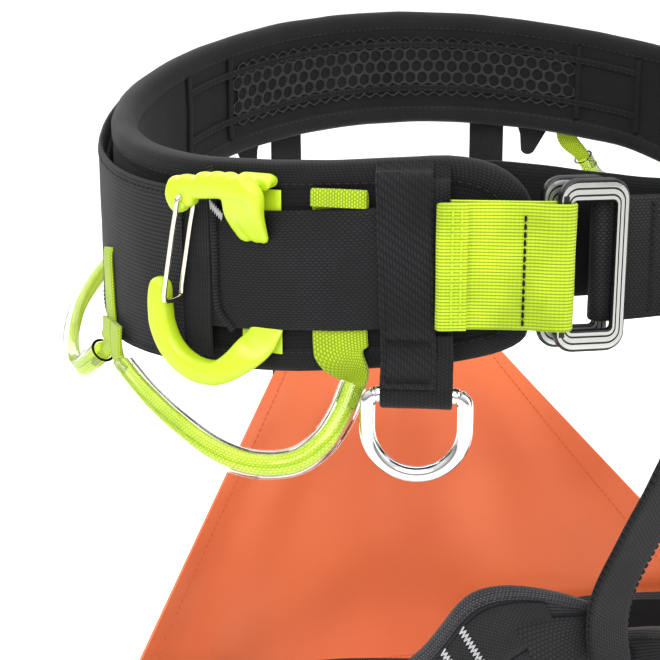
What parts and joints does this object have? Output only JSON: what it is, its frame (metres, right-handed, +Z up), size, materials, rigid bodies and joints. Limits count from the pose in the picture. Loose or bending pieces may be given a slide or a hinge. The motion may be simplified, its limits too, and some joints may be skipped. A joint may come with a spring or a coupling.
{
  "type": "tree climbing saddle",
  "caption": "Padded climbing saddle: waist belt with buckles, side D-rings, gear loops, a tool holder, leg loops and a coated seat panel.",
  "frame": {"origin": "centre of the waist opening, level with the belt's top rim (the rim dips 4 mm below it at the front and rises 26 mm above it at the back)", "axes": "+Z up as worn; the wearer faces -Y, so the front buckles and tie-in ring are at -Y; the wearer's right is -X"},
  "size_m": [0.411, 0.3225, 0.388],
  "materials": {
    "pad_fabric": "fine black polyester face over foam",
    "pad_lining": "black knitted lining",
    "binding": "black elastic edge binding",
    "mesh": "grey open hexagon mesh",
    "webbing_black": "black woven polyester webbing",
    "twill_tape": "black twill tape",
    "webbing_lime": "lime woven polyester webbing",
    "buckle_alloy": "dark anodised, satin",
    "ring_steel": "polished steel",
    "ring_alloy": "dark anodised, satin",
    "holder_plastic": "moulded lime nylon",
    "gate_wire": "bright drawn steel wire",
    "clear_tube": "clear soft PVC tube",
    "panel_fabric": "orange PVC-coated polyester"
  },
  "bodies": {
    "belt": {"pad_lining": "pad_lining", "pad_core": "pad_fabric", "pad_shell": "pad_fabric", "pad_binding": "binding", "lumbar_mesh": "mesh", "front_pad": "pad_fabric", "support_band": "webbing_black", "waist_webbing": "webbing_black", "rear_riser_right": "webbing_black", "rear_riser_left": "webbing_black", "accessory_tab_right": "webbing_black", "accessory_tab_left": "webbing_black", "gear_tab_front_right": "webbing_lime", "gear_tab_front_left": "webbing_lime", "gear_tab_side_right": "webbing_lime", "gear_tab_side_left": "webbing_lime", "gear_tab_rear_right": "webbing_lime", "gear_tab_rear_left": "webbing_lime", "adjuster_webbing_right": "webbing_lime", "adjuster_webbing_left": "webbing_lime", "buckle_receiver_right": "buckle_alloy", "buckle_receiver_left": "buckle_alloy", "front_strap": "webbing_black", "ring_holder": "webbing_black", "ring_strap_right": "webbing_black", "ring_strap_left": "webbing_black", "keeper_tape_right": "twill_tape", "keeper_tape_left": "twill_tape", "tool_holder": "holder_plastic"},
    "side_ring_right": {"d_ring_right": "ring_steel"},
    "side_ring_left": {"d_ring_left": "ring_steel"},
    "gear_loop_front_right": {"gear_tube_front_right": "clear_tube", "gear_webbing_front_right": "webbing_lime"},
    "gear_loop_front_left": {"gear_tube_front_left": "clear_tube", "gear_webbing_front_left": "webbing_lime"},
    "gear_loop_rear_right": {"gear_tube_rear_right": "clear_tube", "gear_webbing_rear_right": "webbing_lime"},
    "gear_loop_rear_left": {"gear_tube_rear_left": "clear_tube", "gear_webbing_rear_left": "webbing_lime"},
    "tool_gate": {"tool_gate": "gate_wire"},
    "buckle_frame_right": {"buckle_frame_right": "buckle_alloy"},
    "buckle_frame_left": {"buckle_frame_left": "buckle_alloy"},
    "leg_section": {"tie_in_ring": "ring_alloy", "leg_riser_right": "webbing_black", "leg_riser_left": "webbing_black", "leg_pad_right": "webbing_black", "leg_pad_left": "webbing_black", "leg_strap_right": "webbing_black", "leg_strap_left": "webbing_black", "leg_tail_right": "webbing_black", "leg_tail_left": "webbing_black", "leg_buckle_base_right": "buckle_alloy", "leg_buckle_base_left": "buckle_alloy", "seat_panel": "panel_fabric"},
    "leg_buckle_right": {"leg_buckle_frame_right": "buckle_alloy"},
    "leg_buckle_left": {"leg_buckle_frame_left": "buckle_alloy"}
  },
  "joints": [
    {"name": "ring_swing_right", "type": "hinge", "parent": "belt", "child": "side_ring_right", "pos_m": [-0.11499, -0.1267, -0.093], "axis": [-0.8673, 0.4977, 0], "range_deg": [-15, 120]},
    {"name": "ring_swing_left", "type": "hinge", "parent": "belt", "child": "side_ring_left", "pos_m": [0.11499, -0.1267, -0.093], "axis": [-0.8673, -0.4977, 0], "range_deg": [-15, 120]},
    {"name": "front_loop_swing_right", "type": "hinge", "parent": "belt", "child": "gear_loop_front_right", "pos_m": [-0.131, -0.107, -0.093], "axis": [-0.5845, 0.8071, -0.0835], "range_deg": [-8, 45]},
    {"name": "front_loop_swing_left", "type": "hinge", "parent": "belt", "child": "gear_loop_front_left", "pos_m": [0.131, -0.107, -0.093], "axis": [-0.5845, -0.8071, 0.0835], "range_deg": [-8, 45]},
    {"name": "rear_loop_swing_right", "type": "hinge", "parent": "belt", "child": "gear_loop_rear_right", "pos_m": [-0.195, 0.008, -0.102], "axis": [0.5647, 0.7596, 0.3227], "range_deg": [-8, 40]},
    {"name": "rear_loop_swing_left", "type": "hinge", "parent": "belt", "child": "gear_loop_rear_left", "pos_m": [0.195, 0.008, -0.102], "axis": [0.5647, -0.7596, -0.3227], "range_deg": [-8, 40]},
    {"name": "gate_swing", "type": "hinge", "parent": "belt", "child": "tool_gate", "pos_m": [-0.18013, -0.06454, -0.0255], "axis": [-0.8348, -0.5505, 0], "range_deg": [0, 20], "stiffness_Nm_per_rad": 0.02, "springref_deg": -17.19},
    {"name": "buckle_tilt_right", "type": "hinge", "parent": "belt", "child": "buckle_frame_right", "pos_m": [-0.06837, -0.14734, -0.0453], "axis": [0, 0, -1], "range_deg": [0, 35]},
    {"name": "buckle_tilt_left", "type": "hinge", "parent": "belt", "child": "buckle_frame_left", "pos_m": [0.06837, -0.14734, -0.0453], "axis": [0, 0, 1], "range_deg": [0, 35]},
    {"name": "leg_section_lift", "type": "hinge", "parent": "belt", "child": "leg_section", "pos_m": [0, -0.162, -0.06], "axis": [1, 0, 0], "range_deg": [0, 12], "deforming": ["rear_riser_right", "rear_riser_left"]},
    {"name": "leg_buckle_tilt_right", "type": "hinge", "parent": "leg_section", "child": "leg_buckle_right", "pos_m": [-0.15497, -0.06621, -0.29475], "axis": [-0.3551, 0.2363, 0.9044], "range_deg": [0, 30]},
    {"name": "leg_buckle_tilt_left", "type": "hinge", "parent": "leg_section", "child": "leg_buckle_left", "pos_m": [0.15497, -0.06621, -0.29475], "axis": [-0.3551, -0.2363, -0.9044], "range_deg": [0, 30]}
  ]
}
